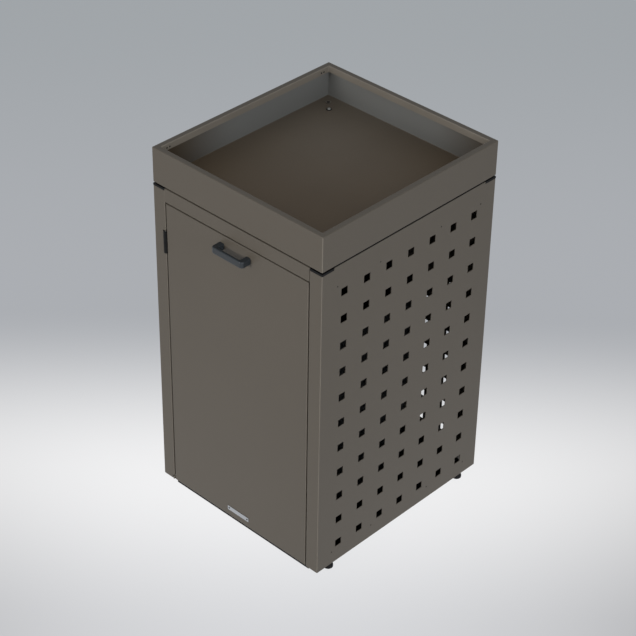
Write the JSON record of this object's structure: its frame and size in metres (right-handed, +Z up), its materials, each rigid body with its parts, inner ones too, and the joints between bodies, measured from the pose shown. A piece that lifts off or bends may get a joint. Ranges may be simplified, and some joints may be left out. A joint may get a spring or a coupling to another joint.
{
  "type": "litter bin",
  "caption": "Cabinet litter bin of folded sheet metal with perforated sides, a left-hung door with a pull handle, levelling feet and an open planting tray on top.",
  "frame": {"origin": "on the ground under the centre of the bounding box, with the handle's reach counted in", "axes": "+Z up, the door faces -Y, +X to the right of someone who faces the door"},
  "size_m": [0.647, 0.734, 1.1709],
  "materials": {
    "paint": "fine-texture powder coat, bronze grey",
    "black_steel": "black coated steel",
    "plastic": "black moulded plastic",
    "handle_plastic": "dark grey moulded plastic",
    "bin_plastic": "dark grey moulded polyethylene",
    "rubber": "black sealing rubber",
    "steel": "zinc plated",
    "plate": "brushed, bare"
  },
  "bodies": {
    "cabinet": {"left_side_panel": "paint", "right_side_panel": "paint", "back_panel": "paint", "front_top_rail": "paint", "planting_tray": "paint", "pivot_post_half": "paint", "tray_bearer_left": "black_steel", "tray_bearer_right": "black_steel", "foot_rail_left": "black_steel", "foot_rail_right": "black_steel", "floor_pan": "black_steel", "base_sill": "black_steel", "hinge_post_half": "black_steel", "drain_outlet": "plastic", "magnet_catch": "plastic", "corner_cap_front_left": "plastic", "corner_cap_front_right": "plastic", "corner_cap_rear_left": "plastic", "corner_cap_rear_right": "plastic", "tray_washer_front_left": "rubber", "tray_washer_front_right": "rubber", "tray_washer_rear_left": "rubber", "tray_washer_rear_right": "rubber", "tray_bolt_front_left": "steel", "tray_bolt_front_right": "steel", "tray_bolt_rear_left": "steel", "tray_bolt_rear_right": "steel", "tray_nut_front_left": "steel", "tray_nut_front_right": "steel", "tray_nut_rear_left": "steel", "tray_nut_rear_right": "steel", "lock_nut_front_left": "steel", "lock_nut_front_right": "steel", "lock_nut_rear_left": "steel", "lock_nut_rear_right": "steel", "hinge_pin": "steel", "pivot_pin": "steel"},
    "door": {"door_panel": "paint", "door_stiffener": "paint", "pull_handle": "handle_plastic", "handle_screw_left": "steel", "handle_screw_right": "steel", "name_plate": "plate", "plate_rivet_left": "black_steel", "plate_rivet_right": "black_steel", "hinge_door_half": "black_steel", "pivot_door_half": "paint", "catch_plate": "steel"},
    "container": {"litter_container": "bin_plastic"},
    "bail": {"container_bail": "steel"},
    "foot_front_left": {"levelling_foot_front_left": "plastic"},
    "foot_front_right": {"levelling_foot_front_right": "plastic"},
    "foot_rear_left": {"levelling_foot_rear_left": "plastic"},
    "foot_rear_right": {"levelling_foot_rear_right": "plastic"}
  },
  "joints": [
    {"name": "door_hinge", "type": "hinge", "parent": "cabinet", "child": "door", "pos_m": [-0.2805, -0.331, 0.5], "axis": [0, 0, -1], "range_deg": [0, 110]},
    {"name": "container_lift", "type": "slide", "parent": "cabinet", "child": "container", "axis": [0, 0, 1], "range_m": [0, 0.08]},
    {"name": "bail_swing", "type": "hinge", "parent": "container", "child": "bail", "pos_m": [0, -0.004, 0.7331], "axis": [-1, 0, 0], "range_deg": [0, 180]},
    {"name": "foot_turn_front_left", "type": "hinge", "parent": "cabinet", "child": "foot_front_left", "pos_m": [-0.307, -0.269, 0.02], "axis": [0, 0, 1], "continuous": true},
    {"name": "foot_turn_front_right", "type": "hinge", "parent": "cabinet", "child": "foot_front_right", "pos_m": [0.307, -0.269, 0.02], "axis": [0, 0, 1], "continuous": true},
    {"name": "foot_turn_rear_left", "type": "hinge", "parent": "cabinet", "child": "foot_rear_left", "pos_m": [-0.307, 0.303, 0.02], "axis": [0, 0, 1], "continuous": true},
    {"name": "foot_turn_rear_right", "type": "hinge", "parent": "cabinet", "child": "foot_rear_right", "pos_m": [0.307, 0.303, 0.02], "axis": [0, 0, 1], "continuous": true}
  ]
}
